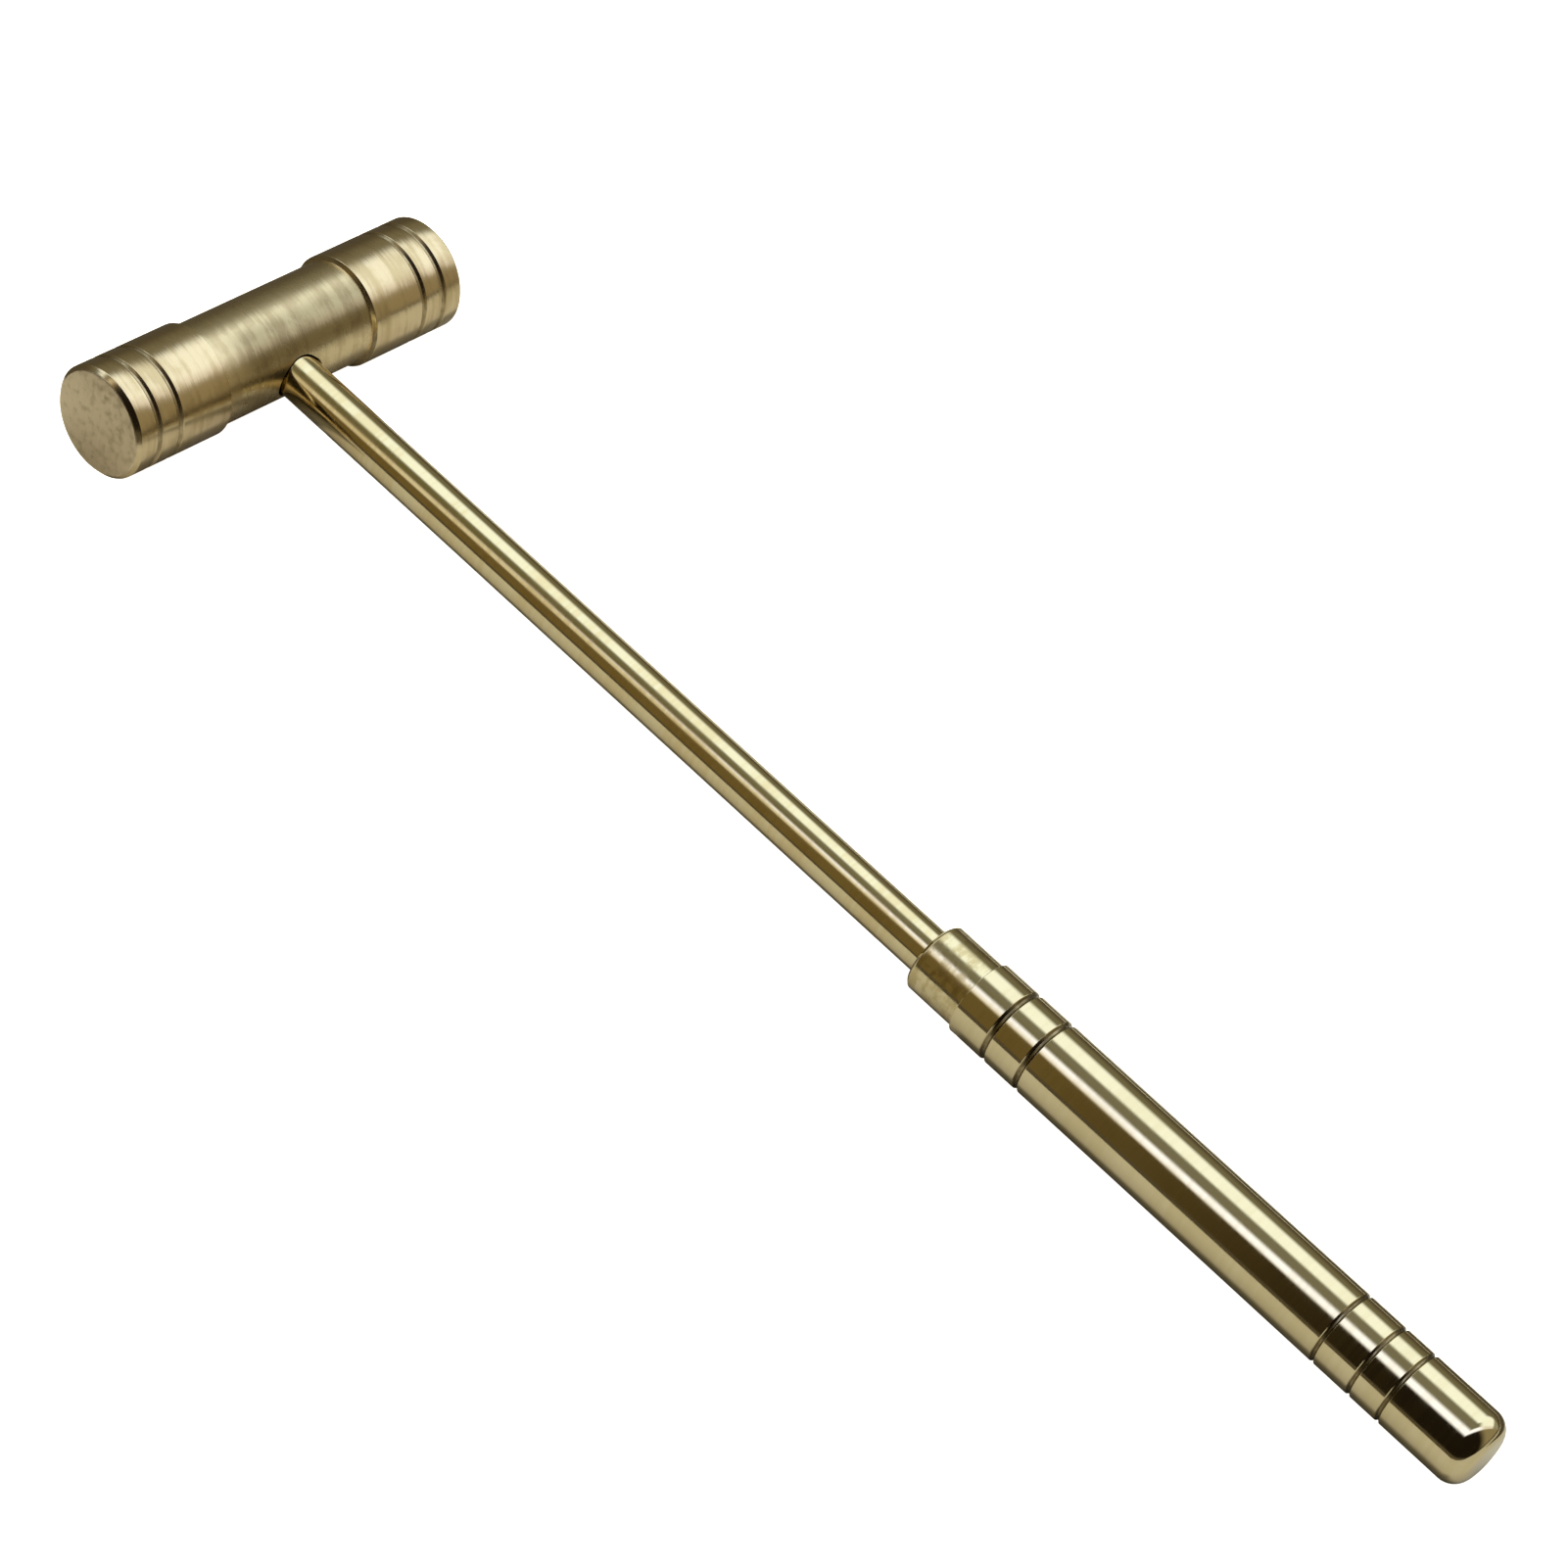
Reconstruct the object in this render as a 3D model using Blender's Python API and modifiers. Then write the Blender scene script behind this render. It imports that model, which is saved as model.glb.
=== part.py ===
"""A small double-faced brass hammer, in three screwed pieces: head, shaft and handle.

It lies flat, with the handle along +X, the head's axis along Y and +Z up.
The origin is under the middle of the whole hammer, on the surface that the head rests on.
"""

import math

import bmesh
import bpy
from mathutils import Matrix, Vector

MM = 0.001

# Head, in millimetres. Its places are measured along its axis from its middle.
HEAD_LENGTH = 55.0
DRUM_RADIUS = 7.4
WAIST_RADIUS = 6.8
SHOULDER_PLACE = 11.9
FACE_CHAMFER = 0.6
HEAD_GROOVE_PLACES = (20.6, 24.0)
HEAD_GROOVE_WIDTH = 0.9
HEAD_GROOVE_DEPTH = 0.32
SHAFT_HOLE_COUNTERSINK = 0.4

# Shaft. Its visible length runs from the waist to the front of the handle.
SHAFT_RADIUS = 3.0
SHAFT_CHAMFER = 0.4

# Handle. Its places are measured from its front end, back towards the butt.
HANDLE_FRONT = 117.4
HANDLE_LENGTH = 86.6
HANDLE_RADIUS = 5.0
NECK_RADIUS = 4.6
NECK_LENGTH = 7.6
NECK_CHAMFER = 0.4
BUTT_ROUND = 2.6
BUTT_ARC_POINTS = 7
FRONT_GROOVES = {"places": (12.9, 18.2), "width": 0.9, "depth": 0.32}
BUTT_GROOVES = {"places": (64.9, 70.4, 74.8), "width": 0.7, "depth": 0.25}
HANDLE_COUNTERSINK = 0.5

# Screwed joints: a 6 mm thread of 1 mm pitch, with clearance between the two solids.
PITCH = 1.0
THREAD_ROOT = 2.39
THREAD_CREST_WIDTH = 0.125
THREAD_BASE_WIDTH = 0.94
THREAD_CLEARANCE = 0.35
THREAD_STEPS = 12
THREAD_BASE_DEPTH = 0.1
TAP_RUN_OUT_TURNS = 1
MOUTH_GAP = 0.3
SHOULDER_GAP = 0.3
RELIEF_LENGTH = 0.7
HEAD_SOCKET = {"plain": 2.0, "tapped": 8.0, "thread_turns": 6, "spare": 0.4}
HANDLE_SOCKET = {"plain": 3.0, "tapped": 10.0, "thread_turns": 8, "spare": 0.4}
DRILL_POINT_SLOPE = math.tan(math.radians(31.0))

HEAD_STEPS = 56
HANDLE_STEPS = 48
SHAFT_STEPS = 36
SOCKET_STEPS = 24
# The socket's facets are turned a little, so that their corners miss the facets of the bar they cut.
SOCKET_TWIST = math.radians(2.5)
CUTTER_REACH = 1.0

BUTT_PLACE = HANDLE_FRONT + HANDLE_LENGTH
# The head's axis crosses the handle's axis here.
HEAD_X = -(BUTT_PLACE - DRUM_RADIUS) / 2.0
AXIS_HEIGHT = DRUM_RADIUS

# Turns that stand a piece modelled along Z on another direction.
ALONG_X = (0.0, math.pi / 2.0, 0.0)
AGAINST_X = (0.0, -math.pi / 2.0, 0.0)
ALONG_Y = (-math.pi / 2.0, 0.0, 0.0)

BRASS = {
    "head": {"colour": (0.66, 0.54, 0.30, 1.0), "roughness": 0.34},
    "shaft": {"colour": (0.72, 0.58, 0.31, 1.0), "roughness": 0.14},
    "handle": {"colour": (0.72, 0.58, 0.31, 1.0), "roughness": 0.16},
}


def clear_scene():
    for obj in list(bpy.data.objects):
        bpy.data.objects.remove(obj, do_unlink=True)


def new_collection(name):
    collection = bpy.data.collections.new(name)
    bpy.context.scene.collection.children.link(collection)
    return collection


def brass(name):
    """Brass for one piece, more or less polished."""
    material = bpy.data.materials.new(name + "_brass")
    material.use_nodes = True
    shader = material.node_tree.nodes["Principled BSDF"]
    shader.inputs["Base Color"].default_value = BRASS[name]["colour"]
    shader.inputs["Roughness"].default_value = BRASS[name]["roughness"]
    shader.inputs["Metallic"].default_value = 1.0
    return material


def outline_object(name, points, collection, closed=False):
    """Edges through (place, radius) points in millimetres, in the XZ plane beside the Z axis."""
    mesh = bpy.data.meshes.new(name)
    vertices = [(radius * MM, 0.0, place * MM) for place, radius in points]
    edges = [(i, i + 1) for i in range(len(points) - 1)]
    if closed:
        edges.append((len(points) - 1, 0))
    mesh.from_pydata(vertices, edges, [])
    obj = bpy.data.objects.new(name, mesh)
    collection.objects.link(obj)
    return obj


def turned(name, points, steps, collection):
    """A solid of revolution about Z. The points run from its low end to its high end."""
    obj = outline_object(name, points[::-1], collection)
    screw = obj.modifiers.new("turn", "SCREW")
    screw.axis = "Z"
    screw.angle = 2.0 * math.pi
    screw.steps = steps
    screw.render_steps = steps
    screw.use_merge_vertices = True
    screw.merge_threshold = 0.00001
    screw.use_smooth_shade = True
    return obj


def place_on_axis(obj, x, rotation):
    """Puts a piece modelled about Z on the hammer's axis, x millimetres from the head."""
    obj.location = Vector(((HEAD_X + x) * MM, 0.0, AXIS_HEIGHT * MM))
    obj.rotation_euler = rotation


def as_mesh(obj):
    """Bakes an object's modifiers into its mesh."""
    depsgraph = bpy.context.evaluated_depsgraph_get()
    mesh = bpy.data.meshes.new_from_object(obj.evaluated_get(depsgraph))
    obj.modifiers.clear()
    obj.data = mesh
    return obj


def boolean(target, tool, operation):
    modifier = target.modifiers.new(tool.name, "BOOLEAN")
    modifier.operation = operation
    modifier.solver = "EXACT"
    modifier.object = tool
    tool.hide_render = True
    tool.display_type = "WIRE"


def groove(place, width, depth, radius):
    """Three points of a V groove, in order of rising place."""
    return [
        (place - width / 2.0, radius),
        (place, radius - depth),
        (place + width / 2.0, radius),
    ]


def quarter_arc(place, radius, size, count):
    """Points of a rounded outer edge, from its side at full radius to the end at place."""
    points = []
    for i in range(count):
        angle = math.pi / 2.0 * i / (count - 1)
        along = place - size + size * math.sin(angle)
        points.append((along, radius - size + size * math.cos(angle)))
    return points


def head_outline():
    """The head's outline, its right half mirrored onto its left."""
    half = HEAD_LENGTH / 2.0
    step = DRUM_RADIUS - WAIST_RADIUS
    right = [(SHOULDER_PLACE, WAIST_RADIUS), (SHOULDER_PLACE + step, DRUM_RADIUS)]
    for place in HEAD_GROOVE_PLACES:
        right += groove(place, HEAD_GROOVE_WIDTH, HEAD_GROOVE_DEPTH, DRUM_RADIUS)
    right.append((half - FACE_CHAMFER, DRUM_RADIUS))
    right.append((half, DRUM_RADIUS - FACE_CHAMFER))
    right.append((half, 0.0))
    left = [(-place, radius) for place, radius in reversed(right)]
    return left + right


def handle_outline():
    points = [
        (0.0, 0.0),
        (0.0, NECK_RADIUS - NECK_CHAMFER),
        (NECK_CHAMFER, NECK_RADIUS),
        (NECK_LENGTH, NECK_RADIUS),
        (NECK_LENGTH, HANDLE_RADIUS),
    ]
    for grooves in (FRONT_GROOVES, BUTT_GROOVES):
        for place in grooves["places"]:
            points += groove(place, grooves["width"], grooves["depth"], HANDLE_RADIUS)
    points += quarter_arc(HANDLE_LENGTH, HANDLE_RADIUS, BUTT_ROUND, BUTT_ARC_POINTS)
    points.append((HANDLE_LENGTH, 0.0))
    return points


def thread_end(socket):
    """(shoulder, thread start, thread end, tip) of a shaft's end, measured into its socket."""
    shoulder = socket["plain"] - SHOULDER_GAP
    start = shoulder + RELIEF_LENGTH
    end = start + socket["thread_turns"] * PITCH
    return shoulder, start, end, end + socket["spare"]


def shaft_outline():
    """The shaft between its threads, and the threads' cores."""
    head_mouth = WAIST_RADIUS
    shoulder, _, _, tip = (head_mouth - depth for depth in thread_end(HEAD_SOCKET))
    points = [(tip, 0.0), (tip, THREAD_ROOT - SHAFT_CHAMFER), (tip + SHAFT_CHAMFER, THREAD_ROOT)]
    points += [(shoulder, THREAD_ROOT), (shoulder, SHAFT_RADIUS - SHAFT_CHAMFER)]
    points += [(shoulder + SHAFT_CHAMFER, SHAFT_RADIUS)]
    shoulder, _, _, tip = (HANDLE_FRONT + depth for depth in thread_end(HANDLE_SOCKET))
    points += [(shoulder - SHAFT_CHAMFER, SHAFT_RADIUS), (shoulder, SHAFT_RADIUS - SHAFT_CHAMFER)]
    points += [(shoulder, THREAD_ROOT), (tip - SHAFT_CHAMFER, THREAD_ROOT)]
    points += [(tip, THREAD_ROOT - SHAFT_CHAMFER), (tip, 0.0)]
    return points


def thread_ridge(name, start, turns, clearance, collection):
    """A closed helical ridge about Z from start upwards. Clearance makes it larger all over."""
    crest = SHAFT_RADIUS + clearance
    base = THREAD_ROOT + clearance - THREAD_BASE_DEPTH
    section = [
        (start + THREAD_BASE_WIDTH / 2.0, base),
        (start + THREAD_CREST_WIDTH / 2.0, crest),
        (start - THREAD_CREST_WIDTH / 2.0, crest),
        (start - THREAD_BASE_WIDTH / 2.0, base),
    ]
    ridge = outline_object(name, section, collection, closed=True)
    screw = ridge.modifiers.new("helix", "SCREW")
    screw.axis = "Z"
    screw.angle = 2.0 * math.pi
    screw.screw_offset = PITCH * MM
    screw.iterations = turns
    screw.steps = THREAD_STEPS
    screw.render_steps = THREAD_STEPS
    as_mesh(ridge)
    shape = bmesh.new()
    shape.from_mesh(ridge.data)
    open_edges = [edge for edge in shape.edges if edge.is_boundary]
    bmesh.ops.holes_fill(shape, edges=open_edges, sides=0)
    bmesh.ops.recalc_face_normals(shape, faces=shape.faces)
    shape.to_mesh(ridge.data)
    shape.free()
    return ridge


def socket_cutter(name, socket, countersink, collection):
    """The hole that takes a shaft's end, drilled along +Z from a mouth at zero."""
    bore = THREAD_ROOT + THREAD_CLEARANCE
    mouth = SHAFT_RADIUS + MOUTH_GAP
    bottom = socket["plain"] + socket["tapped"]
    points = [
        (-CUTTER_REACH, 0.0),
        (-CUTTER_REACH, mouth + countersink + CUTTER_REACH),
        (countersink, mouth),
        (socket["plain"], mouth),
        (socket["plain"], bore),
        (bottom, bore),
        (bottom + bore * DRILL_POINT_SLOPE, 0.0),
    ]
    cutter = turned(name, points, SOCKET_STEPS, collection)
    cutter.data.transform(Matrix.Rotation(SOCKET_TWIST, 4, "Z"))
    return cutter


def tapped_hole(target, socket, countersink, mouth_x, rotation, collection):
    """Cuts a countersunk, drilled and tapped blind hole into a piece."""
    drill = socket_cutter(target.name + "_drill", socket, countersink, collection)
    start = thread_end(socket)[1] - TAP_RUN_OUT_TURNS * PITCH
    turns = socket["thread_turns"] + 2 * TAP_RUN_OUT_TURNS
    tap = thread_ridge(target.name + "_tap", start, turns, THREAD_CLEARANCE, collection)
    for tool in (drill, tap):
        place_on_axis(tool, mouth_x, rotation)
        boolean(target, tool, "DIFFERENCE")


def make_head(parts, cutters):
    head = turned("head", head_outline(), HEAD_STEPS, parts)
    place_on_axis(head, 0.0, ALONG_Y)
    tapped_hole(head, HEAD_SOCKET, SHAFT_HOLE_COUNTERSINK, WAIST_RADIUS, AGAINST_X, cutters)
    return head


def make_handle(parts, cutters):
    handle = turned("handle", handle_outline(), HANDLE_STEPS, parts)
    place_on_axis(handle, HANDLE_FRONT, ALONG_X)
    tapped_hole(handle, HANDLE_SOCKET, HANDLE_COUNTERSINK, HANDLE_FRONT, ALONG_X, cutters)
    return handle


def make_shaft(parts, cutters):
    shaft = turned("shaft", shaft_outline(), SHAFT_STEPS, parts)
    place_on_axis(shaft, 0.0, ALONG_X)
    ends = (
        ("head_thread", HEAD_SOCKET, WAIST_RADIUS, AGAINST_X),
        ("handle_thread", HANDLE_SOCKET, HANDLE_FRONT, ALONG_X),
    )
    for name, socket, mouth_x, rotation in ends:
        start = thread_end(socket)[1]
        ridge = thread_ridge(name, start, socket["thread_turns"], 0.0, cutters)
        place_on_axis(ridge, mouth_x, rotation)
        boolean(shaft, ridge, "UNION")
    return shaft


def main():
    clear_scene()
    parts = new_collection("brass_hammer")
    cutters = new_collection("cutters")
    for piece in (make_head(parts, cutters), make_shaft(parts, cutters), make_handle(parts, cutters)):
        piece.data.materials.append(brass(piece.name))


main()
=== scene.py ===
"""Looks of a small double-faced brass hammer that lies on a pale floor under striplights.

The head, the shaft and the handle are fine turned meshes that stand for the plain CAD solids.
The hammer's own sizes and outlines are in millimetres. The stage's are in metres.
"""

import math

import bmesh
import bpy
from mathutils import Matrix, Vector


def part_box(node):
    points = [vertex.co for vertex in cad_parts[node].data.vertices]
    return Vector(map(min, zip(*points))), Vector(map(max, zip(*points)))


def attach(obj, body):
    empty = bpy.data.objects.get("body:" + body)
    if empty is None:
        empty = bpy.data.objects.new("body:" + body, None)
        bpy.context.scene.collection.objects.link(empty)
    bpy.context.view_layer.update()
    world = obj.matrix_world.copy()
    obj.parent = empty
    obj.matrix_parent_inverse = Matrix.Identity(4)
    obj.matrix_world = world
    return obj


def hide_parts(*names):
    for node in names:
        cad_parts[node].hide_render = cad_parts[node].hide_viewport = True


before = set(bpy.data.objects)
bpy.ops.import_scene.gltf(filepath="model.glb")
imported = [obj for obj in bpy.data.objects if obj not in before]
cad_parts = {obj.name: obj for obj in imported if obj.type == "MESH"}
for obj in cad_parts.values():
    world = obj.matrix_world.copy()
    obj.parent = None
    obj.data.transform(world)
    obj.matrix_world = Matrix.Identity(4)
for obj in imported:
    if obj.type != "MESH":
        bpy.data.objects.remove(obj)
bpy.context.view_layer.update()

MM = 0.001

# The camera.
CAMERA_TARGET = Vector((-0.00981, 0.00418, 0.0074))
CAMERA_DISTANCE = 0.62134
CAMERA_AZIMUTH = math.radians(28.378)
CAMERA_ELEVATION = math.radians(44.383)
CAMERA_ROLL = math.radians(21.604)
CAMERA_LENS = 120.31

# Where the pieces are and their main sizes, from the frame.
HEAD_LOW, HEAD_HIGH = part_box("head")
HANDLE_LOW, HANDLE_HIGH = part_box("handle")
SHAFT_LOW, SHAFT_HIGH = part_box("shaft")
HEAD_CENTRE = (HEAD_LOW + HEAD_HIGH) / 2.0
HEAD_LENGTH = (HEAD_HIGH.y - HEAD_LOW.y) / MM
DRUM_RADIUS = (HEAD_HIGH.z - HEAD_LOW.z) / 2.0 / MM
HANDLE_LENGTH = (HANDLE_HIGH.x - HANDLE_LOW.x) / MM
HANDLE_RADIUS = (HANDLE_HIGH.y - HANDLE_LOW.y) / 2.0 / MM
SHAFT_RADIUS = (SHAFT_HIGH.y - SHAFT_LOW.y) / 2.0 / MM
HANDLE_FRONT = (HANDLE_LOW.x - HEAD_CENTRE.x) / MM

# The head, measured along its axis from its middle.
WAIST_RADIUS = 6.8
SHOULDER_PLACE, SHOULDER_END = 12.05, 12.35
FACE_CHAMFER = 0.6
HEAD_GROOVES = {"places": (20.6, 24.0), "width": 0.9, "depth": 0.32}
HOLE_RADIUS = 3.2
HOLE_COUNTERSINK = 0.4

# The handle, measured from its front end towards the butt.
NECK_RADIUS = 4.6
NECK_LENGTH = 7.6
NECK_CHAMFER = 0.4
BUTT_ROUND = 2.6
FRONT_GROOVES = {"places": (12.9, 18.2), "width": 0.9, "depth": 0.32}
BUTT_GROOVES = {"places": (64.9, 70.4, 74.8), "width": 0.7, "depth": 0.25}

# The screwed joints: 6 mm thread of 1 mm pitch.
PITCH = 1.0
THREAD_ROOT = 2.39
THREAD_CREST = 0.0625
THREAD_FOOT = 0.4375
BORE_RADIUS = 2.46
RINGS_PER_TURN = 12
HEAD_PLAIN, HEAD_TAPPED = 2.0, 8.0
HANDLE_PLAIN, HANDLE_TAPPED = 3.0, 10.0
SHAFT_SHOULDER_GAP = 0.1
SHAFT_TIP_GAP = 0.8
THREAD_RELIEF = 0.7
DRILL_POINT_SLOPE = math.tan(math.radians(31.0))

# Fineness of the meshes.
HEAD_STEPS = 288
HANDLE_STEPS = 224
SHAFT_STEPS = 176
ARC_STEP = math.radians(9.0)
SHARP_ANGLE = math.radians(32.0)

# Turned pieces are made about Z and stood on their axes in the frame.
ON_HANDLE_AXIS = Matrix.Translation(HEAD_CENTRE) @ Matrix.Rotation(math.pi / 2.0, 4, "Y")
ON_HEAD_AXIS = Matrix.Translation(HEAD_CENTRE) @ Matrix.Rotation(-math.pi / 2.0, 4, "X")

# The studio, as it stands above the hammer. Across and along are measured on a ceiling one unit
# up: across at right angles to the lights' strips, and along with them.
ACROSS = Vector((0.815, -0.58, 0.0))
ALONG = Vector((0.58, 0.815, 0.0))
FLOOR_RADIUS = 1.6
FLOOR_LIFT_AT_BUTT = (DRUM_RADIUS - HANDLE_RADIUS) * MM
FLOOR_DROP, CARD_DROP = 0.00005, 0.00002
FLOOR_WHITE = (0.8, 0.8, 0.8)
FLOOR_GLOW = 0.85
BACKDROP = (0.97, 0.97, 0.97, 1.0)
SOFTBOX_FAR_EDGE = (-1.32, -0.82)
SOFTBOX_NEAR_EDGE = (-0.39, -0.27)
GAP_WIDTH = (-0.33, -0.02)
GAP_BRIGHTENS = (-0.65, -0.2)
GAP_CLOSES = (0.15, 0.55)
STRIP_WIDTH = (-0.02, 0.2)
STRIP_BRIGHTENS = (-1.1, -0.5)
STRIP_FADES = (0.2, 0.7)
LIGHTS_LENGTH = (-2.3, 2.1)
LIGHTS_SIDE_SOFTNESS, LIGHTS_END_SOFTNESS = 0.06, 0.3
SOFTBOX_LIGHT = (1.18, 1.38, 1.70, 1.0)
STRIP_LIGHT = (1.35, 1.55, 2.40, 1.0)
STRIP_NEAR_END = (0.78, 0.76, 0.70, 1.0)
STRIP_FAR_END = (0.95, 1.00, 1.20, 1.0)
GAP_LIGHT = (0.20, 0.21, 0.18, 1.0)
GAP_NEAR_END = (0.15, 0.14, 0.07, 1.0)
ROOM_NEAR_LEFT = (0.15, 0.115, 0.045)
ROOM_FAR_RIGHT = (0.29, 0.26, 0.18)
ROOM_FAR_END = (0.34, 0.36, 0.33)
ROOM_FAR_SIDE_LOW = (0.085, 0.075, 0.05, 1.0)
ROOM_FAR_SIDE_HIGH = (0.175, 0.175, 0.13, 1.0)
ROOM_DARK = (0.012, 0.009, 0.006)
BENCH_LIGHT = (0.09, 0.08, 0.06, 1.0)
HORIZON = (-0.01, 0.01)
LEAST_HEIGHT = 0.02
BEYOND_STRIP = (0.14, 0.26)
NEAR_LEFT_X, NEAR_LEFT_Y = (-0.18, -0.30), (0.2, -0.2)
FAR_RIGHT_Y, FAR_RIGHT_Z = (-0.05, 0.4), (-0.02, 0.12)
FAR_END_ALONG, FAR_END_ACROSS = (1.9, 2.3), (-1.1, 0.2)
FAR_END_SOFTNESS = 0.15
FAR_SIDE_ACROSS, FAR_SIDE_Z = (-1.24, -1.0), (0.05, 0.4)
CARD_COLOUR = (0.93, 0.87, 0.70)
SHADE_COLOUR = (0.36, 0.33, 0.25)
SHADE_UNDER_HEAD = ((-8.0, 11.0), (-24.0, 34.0))
SHADE_UNDER_SHAFT = ((11.0, 125.0), (-3.6, 3.0))
SHADE_UNDER_HANDLE = ((125.0, 204.0), (-6.3, 5.0))
SHADE_SOFTNESS = 1.2
CARD_OUTLINE = ((-18.0, -46.0), (420.0, -46.0), (420.0, 120.0), (240.0, 120.0), (240.0, 14.0),
                (61.0, 42.0), (420.0, 308.0), (-18.0, 308.0))
FILL_HEIGHT = 0.6
FILL_SIZE = 0.5
FILL_POWER = 0.6

# The brass's markings: features a millimetre along the axis and across it, and the scratches'
# slants in radians.
RINGS = (1.3, 0.04)
FINE_RINGS = (5.0, 0.10)
SCRATCHES = (4.5, 0.22)
SCRATCH_SLANTS = (0.9, -0.5)
SCRATCH_COLOUR = (0.88, 0.74, 0.46, 1.0)

# Finishes of the brass, some with painted shade: its clean and dull colours, its least and most
# roughness, the height of its turning marks, the size of its dull patches, and how much it is
# scratched.
ROD_POLISH = {"clean": (0.80, 0.66, 0.36), "dull": (0.75, 0.59, 0.29), "rough": (0.07, 0.12),
              "marks": 0.0010, "patch": 6.0, "scratches": 0.02}
GRIP_POLISH = {"clean": (0.80, 0.66, 0.37), "dull": (0.76, 0.62, 0.33), "rough": (0.06, 0.10),
               "marks": 0.0008, "patch": 8.0, "scratches": 0.02}
NECK_TURNED = {"clean": (0.80, 0.66, 0.36), "dull": (0.62, 0.48, 0.22), "rough": (0.08, 0.17),
               "marks": 0.0025, "patch": 1.3, "scratches": 0.05}
# Painted shade: the handle's grooves are coloured darker.
GRIP_GROOVE = {"clean": (0.36, 0.28, 0.14), "dull": (0.22, 0.16, 0.07), "rough": (0.20, 0.32),
               "marks": 0.0020, "patch": 1.5, "scratches": 0.0}
# Painted shade: the head's grooves are coloured darker.
HEAD_GROOVE = {"clean": (0.56, 0.43, 0.23), "dull": (0.42, 0.31, 0.15), "rough": (0.26, 0.36),
               "marks": 0.0020, "patch": 1.5, "scratches": 0.0}
# Painted shade: the shaft's hole and countersink are coloured dark.
HOLE_PAINTED_SHADE = {"clean": (0.22, 0.17, 0.08), "dull": (0.11, 0.08, 0.035), "rough": (0.20, 0.32),
             "marks": 0.0020, "patch": 1.5, "scratches": 0.0}
DRUM_SATIN = {"clean": (0.80, 0.62, 0.34), "dull": (0.66, 0.49, 0.24), "rough": (0.18, 0.26),
              "marks": 0.0180, "patch": 4.0, "scratches": 0.12}
WAIST_BRUSHED = {"clean": (0.79, 0.62, 0.33), "dull": (0.66, 0.50, 0.25), "rough": (0.26, 0.33),
                 "marks": 0.0200, "patch": 3.0, "scratches": 0.15}
# Painted shade: the waist above the shaft's hole is coloured darker.
WAIST_PAINTED_SHADE = {"clean": (0.44, 0.34, 0.17), "dull": (0.34, 0.25, 0.12), "rough": (0.22, 0.28),
                   "marks": 0.0200, "patch": 3.0, "scratches": 0.10}
FACE_WORN = {"clean": (0.80, 0.63, 0.38), "dull": (0.62, 0.49, 0.27), "rough": (0.32, 0.44),
             "marks": 0.0160, "patch": 1.1, "scratches": 0.30}


def node(tree, kind, values=None, **settings):
    """A node with its settings made and its inputs given as numbers or linked from sockets."""
    made = tree.nodes.new(kind)
    for name, value in settings.items():
        setattr(made, name, value)
    for name, value in (values or {}).items():
        if isinstance(value, bpy.types.NodeSocket):
            tree.links.new(value, made.inputs[name])
        else:
            made.inputs[name].default_value = value
    return made


def maths(tree, operation, *values):
    return node(tree, "ShaderNodeMath", dict(enumerate(values)), operation=operation).outputs[0]


def ramp(tree, value, start, end, low=0.0, high=1.0):
    """Low where value is at start, high where it is at end, smooth between and level beyond."""
    inputs = {"Value": value, "From Min": start, "From Max": end, "To Min": low, "To Max": high}
    made = node(tree, "ShaderNodeMapRange", inputs, interpolation_type="SMOOTHSTEP")
    return made.outputs["Result"]


def window(tree, value, low, high, soft):
    """One between low and high, and zero outside, with soft edges."""
    rise = ramp(tree, value, low - soft, low + soft)
    fall = ramp(tree, value, high - soft, high + soft, 1.0, 0.0)
    return maths(tree, "MULTIPLY", rise, fall)


def blend(tree, factor, first, second):
    """A colour between two colours."""
    inputs = {0: factor, 6: first, 7: second}
    return node(tree, "ShaderNodeMix", inputs, data_type="RGBA").outputs[2]


def between(tree, factor, first, second):
    """A number between two numbers."""
    return node(tree, "ShaderNodeMix", {0: factor, 2: first, 3: second}).outputs[0]


def scaled(tree, colour, factor):
    """A colour times a factor."""
    inputs = {0: colour, "Scale": factor}
    return node(tree, "ShaderNodeVectorMath", inputs, operation="SCALE").outputs["Vector"]


def added(tree, first, second):
    return node(tree, "ShaderNodeVectorMath", {0: first, 1: second}, operation="ADD").outputs["Vector"]


def add_camera():
    data = bpy.data.cameras.new("camera")
    data.lens = CAMERA_LENS
    camera = bpy.data.objects.new("camera", data)
    bpy.context.scene.collection.objects.link(camera)
    level = math.cos(CAMERA_ELEVATION)
    back = Vector((math.sin(CAMERA_AZIMUTH) * level, -math.cos(CAMERA_AZIMUTH) * level, 0.0))
    back.z = math.sin(CAMERA_ELEVATION)
    turn = (-back).to_track_quat("-Z", "Y").to_matrix().to_4x4()
    tilt = Matrix.Rotation(CAMERA_ROLL, 4, "Z")
    camera.matrix_world = Matrix.Translation(CAMERA_TARGET + back * CAMERA_DISTANCE) @ turn @ tilt
    bpy.context.scene.camera = camera


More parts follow.
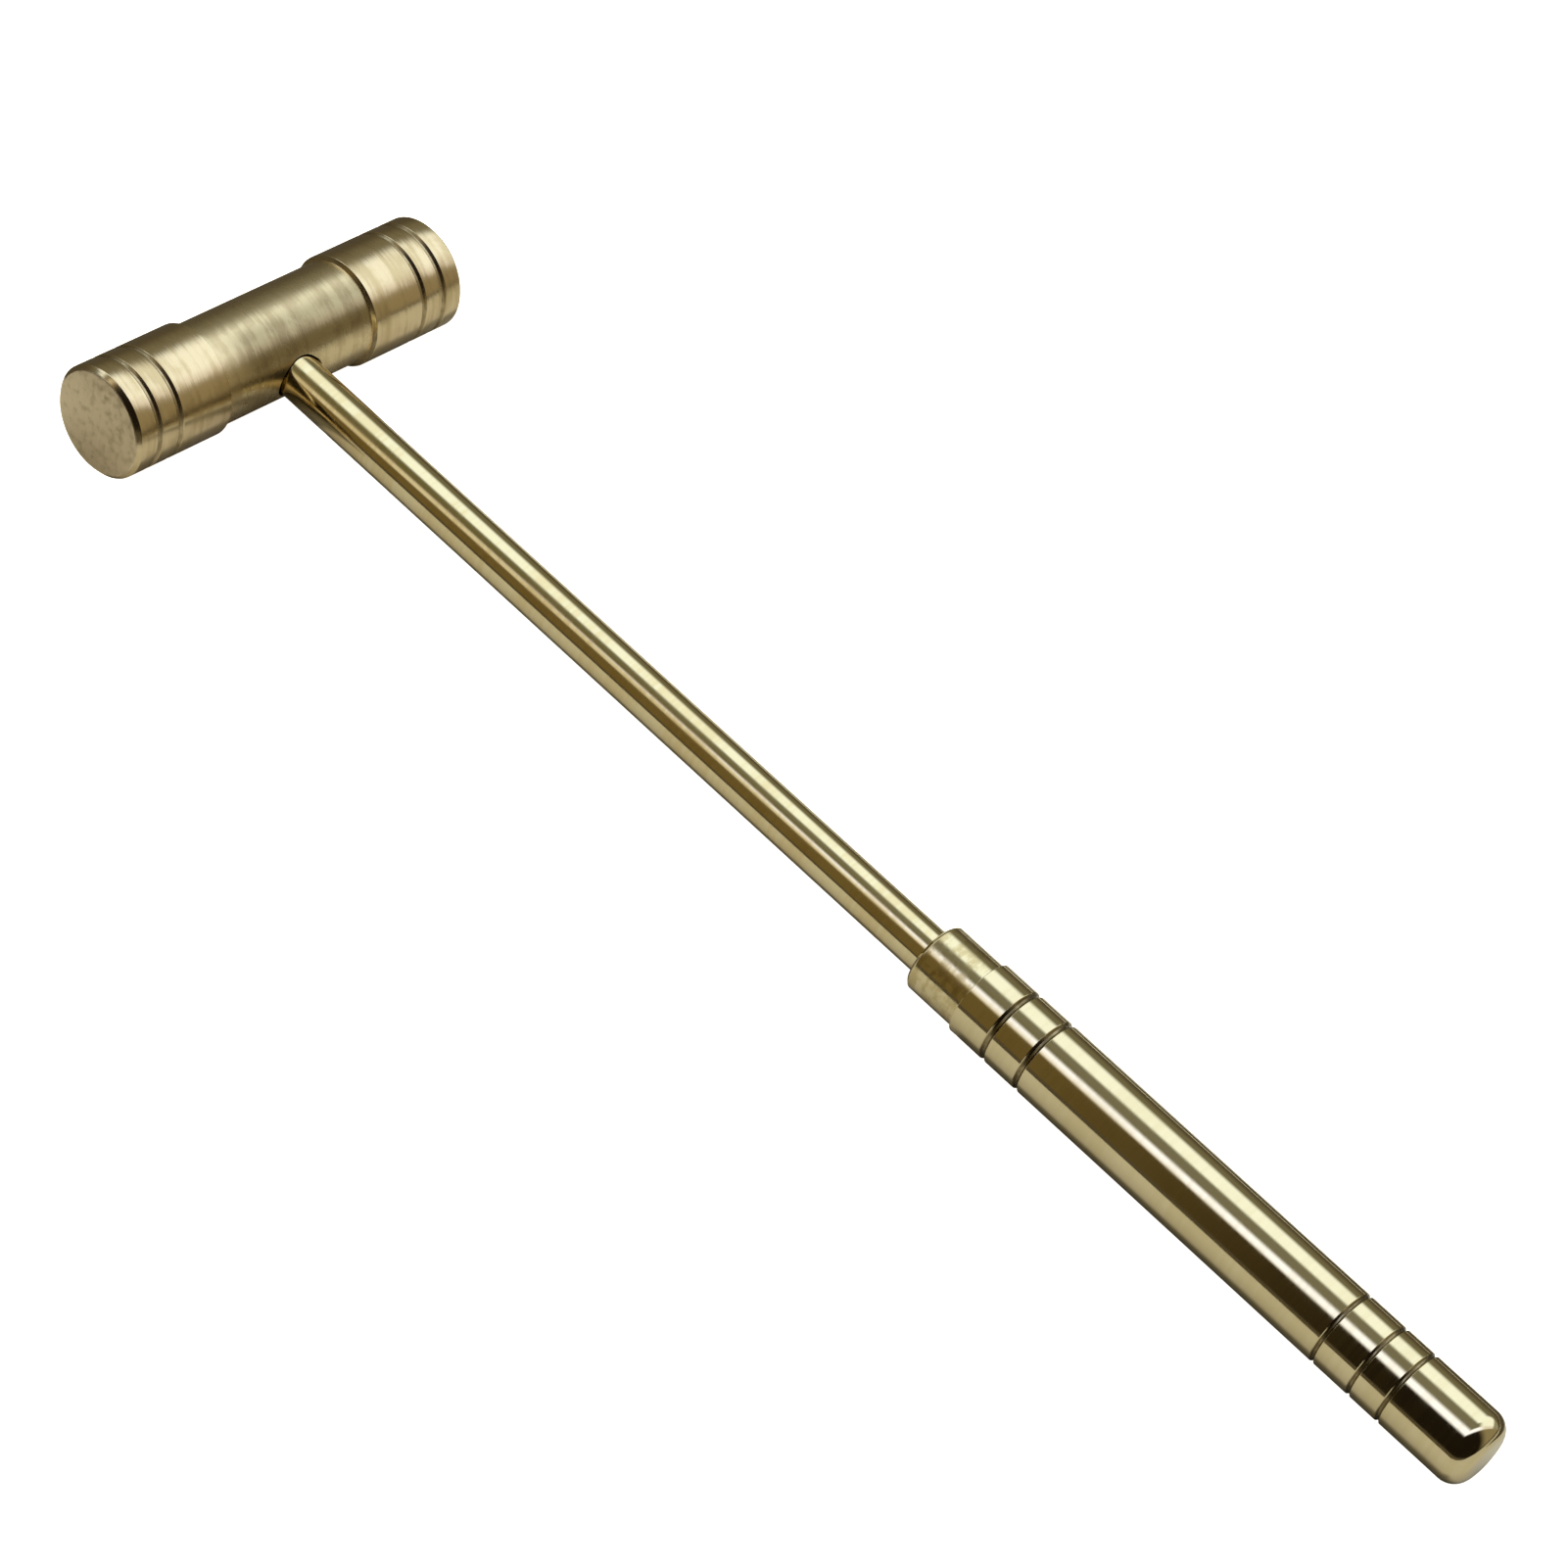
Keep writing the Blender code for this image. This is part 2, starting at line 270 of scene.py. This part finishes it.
def ceiling_lights(tree, across, along):
    """The softbox, the strip light and the gap between them."""
    far_edge = ramp(tree, across, *SOFTBOX_FAR_EDGE)
    near_edge = ramp(tree, across, *SOFTBOX_NEAR_EDGE, 1.0, 0.0)
    light = scaled(tree, SOFTBOX_LIGHT[:3], maths(tree, "MULTIPLY", far_edge, near_edge))
    # The gap closes towards the far right.
    gap_colour = blend(tree, ramp(tree, along, *GAP_BRIGHTENS), GAP_NEAR_END, GAP_LIGHT)
    gap_colour = blend(tree, ramp(tree, along, *GAP_CLOSES), gap_colour, SOFTBOX_LIGHT)
    in_gap = window(tree, across, *GAP_WIDTH, LIGHTS_SIDE_SOFTNESS)
    light = added(tree, light, scaled(tree, gap_colour, in_gap))
    strip_colour = blend(tree, ramp(tree, along, *STRIP_BRIGHTENS), STRIP_NEAR_END, STRIP_LIGHT)
    strip_colour = blend(tree, ramp(tree, along, *STRIP_FADES), strip_colour, STRIP_FAR_END)
    in_strip = window(tree, across, *STRIP_WIDTH, LIGHTS_SIDE_SOFTNESS)
    light = added(tree, light, scaled(tree, strip_colour, in_strip))
    return scaled(tree, light, window(tree, along, *LIGHTS_LENGTH, LIGHTS_END_SOFTNESS))


def room_light(tree, direction, across, along):
    """The room round the lights.

    It is black near the camera, brown to its left and far right, and grey past the strips' far
    end and beyond the softbox."""
    x, y, z = (direction.outputs[name] for name in "XYZ")
    beyond = ramp(tree, across, *BEYOND_STRIP)
    near_left = maths(tree, "MULTIPLY", ramp(tree, x, *NEAR_LEFT_X), ramp(tree, y, *NEAR_LEFT_Y))
    far_right = maths(tree, "MULTIPLY", ramp(tree, y, *FAR_RIGHT_Y), ramp(tree, z, *FAR_RIGHT_Z))
    far_right = maths(tree, "MULTIPLY", beyond, far_right)
    room = scaled(tree, ROOM_NEAR_LEFT, maths(tree, "MULTIPLY", beyond, near_left))
    room = added(tree, room, scaled(tree, ROOM_FAR_RIGHT, far_right))
    at_far_end = window(tree, across, *FAR_END_ACROSS, FAR_END_SOFTNESS)
    past_strips = maths(tree, "MULTIPLY", ramp(tree, along, *FAR_END_ALONG), at_far_end)
    room = added(tree, room, scaled(tree, ROOM_FAR_END, past_strips))
    wall = blend(tree, ramp(tree, z, *FAR_SIDE_Z), ROOM_FAR_SIDE_LOW, ROOM_FAR_SIDE_HIGH)
    past_softbox = ramp(tree, across, *FAR_SIDE_ACROSS, 1.0, 0.0)
    room = added(tree, room, scaled(tree, wall, past_softbox))
    return added(tree, room, ROOM_DARK)


def studio_light(tree):
    """The light that comes from each direction, as a colour socket."""
    generated = node(tree, "ShaderNodeTexCoord").outputs["Generated"]
    direction = node(tree, "ShaderNodeSeparateXYZ", {0: generated})
    height = maths(tree, "MAXIMUM", direction.outputs["Z"], LEAST_HEIGHT)
    places = []
    for axis in (ACROSS, ALONG):
        dot = node(tree, "ShaderNodeVectorMath", {0: generated, 1: axis}, operation="DOT_PRODUCT")
        places.append(maths(tree, "DIVIDE", dot.outputs["Value"], height))
    lights = ceiling_lights(tree, *places)
    above = added(tree, lights, room_light(tree, direction, *places))
    return blend(tree, ramp(tree, direction.outputs["Z"], *HORIZON), BENCH_LIGHT, above)


def add_studio():
    """The world lights and is reflected as striplights, and the camera sees it as a pale backdrop."""
    world = bpy.data.worlds.new("studio")
    world.use_nodes = True
    bpy.context.scene.world = world
    tree = world.node_tree
    tree.nodes.clear()
    light = node(tree, "ShaderNodeBackground", {"Color": studio_light(tree)})
    backdrop = node(tree, "ShaderNodeBackground", {"Color": BACKDROP})
    seen = node(tree, "ShaderNodeLightPath").outputs["Is Camera Ray"]
    both = node(tree, "ShaderNodeMixShader", {0: seen, 1: light.outputs[0], 2: backdrop.outputs[0]})
    node(tree, "ShaderNodeOutputWorld", {"Surface": both.outputs[0]})
    bpy.context.scene.view_settings.view_transform = "Standard"


def matte(name, colour, glow):
    """A matt paint that may also glow, which keeps the shadows on it pale."""
    material = bpy.data.materials.new(name)
    material.use_nodes = True
    shader = material.node_tree.nodes["Principled BSDF"]
    shader.inputs["Base Color"].default_value = (*colour, 1.0)
    shader.inputs["Roughness"].default_value = 1.0
    shader.inputs["Specular IOR Level"].default_value = 0.0
    shader.inputs["Emission Color"].default_value = (1.0, 1.0, 1.0, 1.0)
    shader.inputs["Emission Strength"].default_value = glow
    return material


def shaded_card():
    """Cream card, with a painted shadow where it lies close under the hammer."""
    material = matte("card_cream", CARD_COLOUR, 0.0)
    tree = material.node_tree
    place = node(tree, "ShaderNodeTexCoord").outputs["Object"]
    split = node(tree, "ShaderNodeSeparateXYZ", {0: scaled(tree, place, 1.0 / MM)})
    shade = 0.0
    for ends, sides in (SHADE_UNDER_HEAD, SHADE_UNDER_SHAFT, SHADE_UNDER_HANDLE):
        lengthwise = window(tree, split.outputs["X"], *ends, SHADE_SOFTNESS)
        crosswise = window(tree, split.outputs["Y"], *sides, SHADE_SOFTNESS)
        shade = maths(tree, "MAXIMUM", shade, maths(tree, "MULTIPLY", lengthwise, crosswise))
    colour = blend(tree, shade, (*CARD_COLOUR, 1.0), (*SHADE_COLOUR, 1.0))
    tree.links.new(colour, tree.nodes["Principled BSDF"].inputs["Base Color"])
    return material


def lay_sheet(name, outline, drop, material):
    """A flat sheet of the stage, through (x, y) points in millimetres from the head's centre.

    It is tilted a little, so that the head's drums and the butt both rest on it."""
    run = HANDLE_HIGH.x - BUTT_ROUND * MM - HEAD_CENTRE.x
    tilt = Matrix.Rotation(-math.atan2(FLOOR_LIFT_AT_BUTT, run), 4, "Y")
    mesh = bpy.data.meshes.new(name)
    mesh.from_pydata([(x * MM, y * MM, 0.0) for x, y in outline], [], [range(len(outline))])
    mesh.materials.append(material)
    sheet = bpy.data.objects.new(name, mesh)
    bpy.context.scene.collection.objects.link(sheet)
    sheet.matrix_world = Matrix.Translation((HEAD_CENTRE.x, 0.0, -drop)) @ tilt
    return sheet


def add_floor():
    """The pale floor that the camera sees, and the shaded card that the brass reflects."""
    edge = FLOOR_RADIUS / MM
    corners = [(-edge, -edge), (edge, -edge), (edge, edge), (-edge, edge)]
    floor = lay_sheet("floor", corners, FLOOR_DROP, matte("floor_white", FLOOR_WHITE, FLOOR_GLOW))
    floor.visible_glossy = False
    card = lay_sheet("card", CARD_OUTLINE, CARD_DROP, shaded_card())
    card.visible_camera = False
    card.visible_shadow = False


def add_fill():
    """Soft light from above, on the floor and the card. The brass doesn't reflect it."""
    data = bpy.data.lights.new("fill", "AREA")
    data.size = FILL_SIZE
    data.energy = FILL_POWER
    fill = bpy.data.objects.new("fill", data)
    bpy.context.scene.collection.objects.link(fill)
    fill.location.z = FILL_HEIGHT
    fill.visible_glossy = False


def filleted(corners):
    """Turns (place, radius, fillet) corners into an outline's points, all but its ends rounded."""
    points = []
    for i, (place, radius, fillet) in enumerate(corners):
        here = Vector((place, radius))
        if fillet == 0.0 or i in (0, len(corners) - 1):
            points.append(here)
            continue
        back = (Vector(corners[i - 1][:2]) - here).normalized()
        ahead = (Vector(corners[i + 1][:2]) - here).normalized()
        half = back.angle(ahead) / 2.0
        centre = here + (back + ahead).normalized() * (fillet / math.sin(half))
        start = here + back * (fillet / math.tan(half)) - centre
        end = here + ahead * (fillet / math.tan(half)) - centre
        sweep = math.atan2(start.x * end.y - start.y * end.x, start.dot(end))
        steps = max(2, math.ceil(abs(sweep) / ARC_STEP))
        points += [centre + Matrix.Rotation(sweep * k / steps, 2) @ start for k in range(steps + 1)]
    return [(point.x, point.y) for point in points]


def groove_corners(grooves, radius, edge=0.06):
    """Corners of the grooves cut in a bar of the given radius, in order of rising place."""
    corners = []
    for place in grooves["places"]:
        half, floor = grooves["width"] / 2.0, radius - grooves["depth"]
        corners += [(place - half, radius, edge), (place - half / 3.0, floor, edge)]
        corners += [(place + half / 3.0, floor, edge), (place + half, radius, edge)]
    return corners


def rows(start, end, radius, spacing):
    """Points of a straight bar's outline from start to end, about a spacing apart."""
    count = max(1, round(abs(end - start) / spacing))
    return [(start + (end - start) * k / count, radius) for k in range(count + 1)]


def ridge(place, angle, start, end):
    """Height from 0 to 1 of a right-hand thread that fades in after start and out before end."""
    phase = (place / PITCH - angle / (2.0 * math.pi)) % 1.0
    off_crest = min(phase, 1.0 - phase)
    height = (THREAD_FOOT - off_crest) / (THREAD_FOOT - THREAD_CREST)
    fade = min((place - start) / PITCH, (end - place) / PITCH, 1.0)
    return min(1.0, max(0.0, height)) * max(0.0, fade)


def tapped(start, end):
    """Relief of a thread tapped in a bore between two places. It leaves wider surfaces alone."""
    depth = SHAFT_RADIUS - BORE_RADIUS

    def relief(place, angle, radius):
        return depth * ridge(place, angle, start, end) if radius <= BORE_RADIUS else 0.0

    return relief


def lathe(name, outline, steps, matrix, relief=None):
    """A turned solid. Its outline runs through (place, radius) points, and ends on the axis."""
    shape = bmesh.new()
    rings = []
    for place, radius in outline:
        if radius < 1e-6:
            rings.append([shape.verts.new((0.0, 0.0, place * MM))])
            continue
        ring = []
        for k in range(steps):
            angle = 2.0 * math.pi * k / steps
            out = radius + (relief(place, angle, radius) if relief else 0.0)
            point = (out * math.cos(angle) * MM, out * math.sin(angle) * MM, place * MM)
            ring.append(shape.verts.new(point))
        rings.append(ring)
    for first, second in zip(rings, rings[1:]):
        for k in range(steps):
            after = (k + 1) % steps
            corners = [first[k % len(first)], first[after % len(first)]]
            corners += [second[after % len(second)], second[k % len(second)]]
            shape.faces.new(list(dict.fromkeys(corners)))
    bmesh.ops.recalc_face_normals(shape, faces=shape.faces)
    mesh = bpy.data.meshes.new(name)
    shape.to_mesh(mesh)
    shape.free()
    mesh.transform(matrix)
    obj = bpy.data.objects.new(name, mesh)
    bpy.context.scene.collection.objects.link(obj)
    return obj


def finish_surface(obj):
    """Smooth shading that keeps true edges sharp and long stretches even."""
    obj.data.shade_smooth()
    obj.data.set_sharp_from_angle(angle=SHARP_ANGLE)
    normals = obj.modifiers.new("even_normals", "WEIGHTED_NORMAL")
    normals.keep_sharp = True
    normals.weight = 80


def place_piece(obj, cad_node):
    finish_surface(obj)
    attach(obj, "root")
    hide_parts(cad_node)


def head_outline():
    """The head's outline from its left face to its right face."""
    half = HEAD_LENGTH / 2.0
    right = [(SHOULDER_PLACE, WAIST_RADIUS, 0.05), (SHOULDER_END, DRUM_RADIUS, 0.08)]
    right += groove_corners(HEAD_GROOVES, DRUM_RADIUS)
    right.append((half - FACE_CHAMFER, DRUM_RADIUS, 0.12))
    right.append((half, DRUM_RADIUS - FACE_CHAMFER, 0.12))
    right.append((half, 0.0, 0.0))
    left = [(-place, radius, fillet) for place, radius, fillet in reversed(right)]
    return filleted(left + right)


def hole_outline():
    """The shaft's hole in the head, drilled from the waist to beyond the head's axis."""
    bottom = WAIST_RADIUS - HEAD_PLAIN - HEAD_TAPPED
    mouth = WAIST_RADIUS - HEAD_PLAIN
    cone_end = WAIST_RADIUS + 1.0
    outline = [(bottom - BORE_RADIUS * DRILL_POINT_SLOPE, 0.0)]
    outline += rows(bottom, mouth, BORE_RADIUS, PITCH / RINGS_PER_TURN)
    outline.append((mouth, HOLE_RADIUS))
    outline.append((WAIST_RADIUS - HOLE_COUNTERSINK, HOLE_RADIUS))
    outline.append((cone_end, HOLE_RADIUS + HOLE_COUNTERSINK + 1.0))
    outline.append((cone_end, 0.0))
    return outline


def make_head():
    head = lathe("brass_head", head_outline(), HEAD_STEPS, ON_HEAD_AXIS)
    bottom = WAIST_RADIUS - HEAD_PLAIN - HEAD_TAPPED
    mouth = WAIST_RADIUS - HEAD_PLAIN
    hole = lathe("shaft_hole", hole_outline(), SHAFT_STEPS // 2, ON_HANDLE_AXIS, tapped(bottom, mouth))
    cut = head.modifiers.new("shaft_hole", "BOOLEAN")
    cut.operation = "DIFFERENCE"
    cut.solver = "EXACT"
    cut.object = hole
    depsgraph = bpy.context.evaluated_depsgraph_get()
    drilled = bpy.data.meshes.new_from_object(head.evaluated_get(depsgraph))
    head.modifiers.clear()
    head.data = drilled
    bpy.data.objects.remove(hole)
    return head


def shaft_relief(place, angle, _radius):
    """The threads at the shaft's two ends."""
    head_mouth = WAIST_RADIUS - HEAD_PLAIN
    depth = SHAFT_RADIUS - THREAD_ROOT
    head_end = ridge(place, angle, head_mouth - HEAD_TAPPED, head_mouth - THREAD_RELIEF)
    handle_mouth = HANDLE_FRONT + HANDLE_PLAIN
    handle_end = ridge(place, angle, handle_mouth + THREAD_RELIEF, handle_mouth + HANDLE_TAPPED)
    return depth * (head_end + handle_end)


def shaft_outline():
    head_shoulder = WAIST_RADIUS - HEAD_PLAIN + SHAFT_SHOULDER_GAP
    handle_shoulder = HANDLE_FRONT + HANDLE_PLAIN - SHAFT_SHOULDER_GAP
    head_tip = head_shoulder - HEAD_TAPPED + SHAFT_TIP_GAP
    handle_tip = handle_shoulder + HANDLE_TAPPED - SHAFT_TIP_GAP
    spacing = PITCH / RINGS_PER_TURN
    chamfer = 0.4
    outline = [(head_tip, 0.0), (head_tip, THREAD_ROOT - chamfer)]
    outline += rows(head_tip + chamfer, head_shoulder, THREAD_ROOT, spacing)
    outline += filleted([
        (head_shoulder, SHAFT_RADIUS - chamfer, 0.0),
        (head_shoulder + chamfer, SHAFT_RADIUS, 0.1),
        (handle_shoulder - chamfer, SHAFT_RADIUS, 0.1),
        (handle_shoulder, SHAFT_RADIUS - chamfer, 0.0),
    ])
    outline += rows(handle_shoulder, handle_tip - chamfer, THREAD_ROOT, spacing)
    return outline + [(handle_tip, THREAD_ROOT - chamfer), (handle_tip, 0.0)]


def make_shaft():
    return lathe("brass_shaft", shaft_outline(), SHAFT_STEPS, ON_HANDLE_AXIS, shaft_relief)


def handle_outline():
    """The handle's outline, from its socket's bottom out to the mouth and along to the butt."""
    bottom = HANDLE_PLAIN + HANDLE_TAPPED
    fit = SHAFT_RADIUS + 0.04
    socket = [(bottom + BORE_RADIUS * DRILL_POINT_SLOPE, 0.0)]
    socket += rows(bottom, HANDLE_PLAIN, BORE_RADIUS, PITCH / RINGS_PER_TURN)
    outside = [
        (HANDLE_PLAIN, fit, 0.0),
        (0.3, fit, 0.1),
        (0.0, fit + 0.3, 0.1),
        (0.0, NECK_RADIUS - NECK_CHAMFER, 0.15),
        (NECK_CHAMFER, NECK_RADIUS, 0.3),
        (NECK_LENGTH, NECK_RADIUS, 0.04),
        (NECK_LENGTH, HANDLE_RADIUS, 0.08),
    ]
    outside += groove_corners(FRONT_GROOVES, HANDLE_RADIUS)
    outside += groove_corners(BUTT_GROOVES, HANDLE_RADIUS, 0.05)
    outside += [(HANDLE_LENGTH, HANDLE_RADIUS, BUTT_ROUND), (HANDLE_LENGTH, 0.0, 0.0)]
    points = socket + filleted(outside)
    return [(HANDLE_FRONT + place, radius) for place, radius in points]


def make_handle():
    mouth = HANDLE_FRONT + HANDLE_PLAIN
    relief = tapped(mouth, mouth + HANDLE_TAPPED)
    return lathe("brass_handle", handle_outline(), HANDLE_STEPS, ON_HANDLE_AXIS, relief)


def axis_coordinates(tree, axis):
    """Object coordinates in millimetres, from the head's centre, with the piece's axis as X."""
    place = node(tree, "ShaderNodeTexCoord").outputs["Object"]
    from_centre = node(tree, "ShaderNodeVectorMath", {0: place, 1: HEAD_CENTRE}, operation="SUBTRACT")
    in_mm = scaled(tree, from_centre.outputs["Vector"], 1.0 / MM)
    if axis == "X":
        return in_mm
    split = node(tree, "ShaderNodeSeparateXYZ", {0: in_mm})
    swapped = {"X": split.outputs["Y"], "Y": split.outputs["X"], "Z": split.outputs["Z"]}
    return node(tree, "ShaderNodeCombineXYZ", swapped).outputs[0]


def noise(tree, place, along, round_it, detail=2.0):
    """Noise with the given number of features a millimetre along the axis and across it."""
    inputs = {0: place, 1: (along, round_it, round_it)}
    stretched = node(tree, "ShaderNodeVectorMath", inputs, operation="MULTIPLY").outputs["Vector"]
    made = node(tree, "ShaderNodeTexNoise", {"Vector": stretched, "Scale": 1.0, "Detail": detail})
    return made.outputs[0]


def scratches(tree, place):
    """Thin lines in two slanting directions, one where there is a scratch and zero elsewhere."""
    marks = []
    for slant in SCRATCH_SLANTS:
        inputs = {"Vector": place, "Angle": slant}
        turned = node(tree, "ShaderNodeVectorRotate", inputs, rotation_type="Z_AXIS").outputs[0]
        marks.append(ramp(tree, noise(tree, turned, *SCRATCHES), 0.60, 0.72))
    return maths(tree, "MAXIMUM", *marks)


def finish(tree, place, look):
    """(colour, roughness, relief in millimetres) of turned brass with the given look."""
    rings = noise(tree, place, *RINGS, 3.0)
    fine_rings = noise(tree, place, *FINE_RINGS)
    patches = noise(tree, place, 1.0 / look["patch"], 1.0 / look["patch"], 4.0)
    part_patches = maths(tree, "MULTIPLY", patches, 0.55)
    part_rings = maths(tree, "MULTIPLY", rings, 0.45)
    dull = ramp(tree, maths(tree, "ADD", part_patches, part_rings), 0.42, 0.60)
    colour = blend(tree, dull, (*look["clean"], 1.0), (*look["dull"], 1.0))
    scratched = maths(tree, "MULTIPLY", scratches(tree, place), look["scratches"])
    colour = blend(tree, scratched, colour, SCRATCH_COLOUR)
    part_dull = maths(tree, "MULTIPLY", dull, 0.6)
    part_fine = maths(tree, "MULTIPLY", fine_rings, 0.4)
    roughness = ramp(tree, maths(tree, "ADD", part_dull, part_fine), 0.1, 0.8, *look["rough"])
    relief = maths(tree, "ADD", rings, part_fine)
    return colour, roughness, maths(tree, "MULTIPLY", relief, look["marks"])


def brass(name, axis, look, zones):
    """Turned brass. Each zone is a mask made from the axis coordinates, and the look it has."""
    material = bpy.data.materials.new(name)
    material.use_nodes = True
    tree = material.node_tree
    shader = tree.nodes["Principled BSDF"]
    place = axis_coordinates(tree, axis)
    colour, roughness, relief = finish(tree, place, look)
    for mask, zone_look in zones:
        inside = mask(tree, place)
        zone_colour, zone_roughness, zone_relief = finish(tree, place, zone_look)
        colour = blend(tree, inside, colour, zone_colour)
        roughness = between(tree, inside, roughness, zone_roughness)
        relief = between(tree, inside, relief, zone_relief)
    bump = node(tree, "ShaderNodeBump", {"Strength": 1.0, "Distance": MM, "Height": relief})
    tree.links.new(colour, shader.inputs["Base Color"])
    tree.links.new(roughness, shader.inputs["Roughness"])
    tree.links.new(bump.outputs["Normal"], shader.inputs["Normal"])
    shader.inputs["Metallic"].default_value = 1.0
    return material


def stretch(start, end, soft=0.1):
    """Mask of a stretch of the axis, measured from the head's centre in either sense."""

    def mask(tree, place):
        x = node(tree, "ShaderNodeSeparateXYZ", {0: place}).outputs["X"]
        return window(tree, maths(tree, "ABSOLUTE", x), start, end, soft)

    return mask


def cut_into(radius, start, end):
    """Mask of what is cut into a bar of this radius, on a stretch of the axis."""
    along = stretch(start, end)

    def mask(tree, place):
        inputs = {0: place, 1: (0.0, 1.0, 1.0)}
        out = node(tree, "ShaderNodeVectorMath", inputs, operation="MULTIPLY").outputs["Vector"]
        reach = node(tree, "ShaderNodeVectorMath", {0: out}, operation="LENGTH").outputs["Value"]
        cut = ramp(tree, reach, radius - 0.04, radius - 0.12)
        return maths(tree, "MULTIPLY", along(tree, place), cut)

    return mask


def above_hole(tree, place):
    """Mask of the waist's side above the shaft's hole, where shade is painted, but for its left end.
    """
    split = node(tree, "ShaderNodeSeparateXYZ", {0: place})
    facing_shaft = ramp(tree, split.outputs["Y"], 0.2, 2.8)
    above = ramp(tree, split.outputs["Z"], 2.6, 4.2)
    fades_left = ramp(tree, split.outputs["X"], -11.8, -6.5)
    ends_right = ramp(tree, split.outputs["X"], SHOULDER_PLACE + 0.1, SHOULDER_PLACE - 0.1)
    on_waist = maths(tree, "MULTIPLY", fades_left, ends_right)
    return maths(tree, "MULTIPLY", on_waist, maths(tree, "MULTIPLY", facing_shaft, above))


def grooves_cut(places, radius):
    return cut_into(radius, min(places) - 1.0, max(places) + 1.0)


def main():
    add_camera()
    add_studio()
    add_floor()
    add_fill()

    head = make_head()
    half = HEAD_LENGTH / 2.0
    head_zones = (
        # painted shade in the head's grooves
        (grooves_cut(HEAD_GROOVES["places"], DRUM_RADIUS), HEAD_GROOVE),
        (stretch(-1.0, SHOULDER_PLACE + 0.2), WAIST_BRUSHED),
        # painted shade on the waist above the shaft's hole
        (above_hole, WAIST_PAINTED_SHADE),
        # painted shade in the shaft's hole and countersink
        (cut_into(WAIST_RADIUS, -1.0, HOLE_RADIUS + HOLE_COUNTERSINK + 0.3), HOLE_PAINTED_SHADE),
        (stretch(half - 0.1, half + 1.0, 0.05), FACE_WORN),
    )
    head.data.materials.clear()
    head.data.materials.append(brass("head_brass", "Y", DRUM_SATIN, head_zones))
    place_piece(head, "head")

    shaft = make_shaft()
    shaft.data.materials.append(brass("rod_brass", "X", ROD_POLISH, ()))
    place_piece(shaft, "shaft")

    handle = make_handle()
    front_places = [HANDLE_FRONT + place for place in FRONT_GROOVES["places"]]
    butt_places = [HANDLE_FRONT + place for place in BUTT_GROOVES["places"]]
    handle_zones = (
        # painted shade in the handle's grooves
        (grooves_cut(front_places, HANDLE_RADIUS), GRIP_GROOVE),
        (grooves_cut(butt_places, HANDLE_RADIUS), GRIP_GROOVE),
        (stretch(HANDLE_FRONT - 1.0, HANDLE_FRONT + NECK_LENGTH, 0.05), NECK_TURNED),
    )
    handle.data.materials.append(brass("grip_brass", "X", GRIP_POLISH, handle_zones))
    place_piece(handle, "handle")


main()
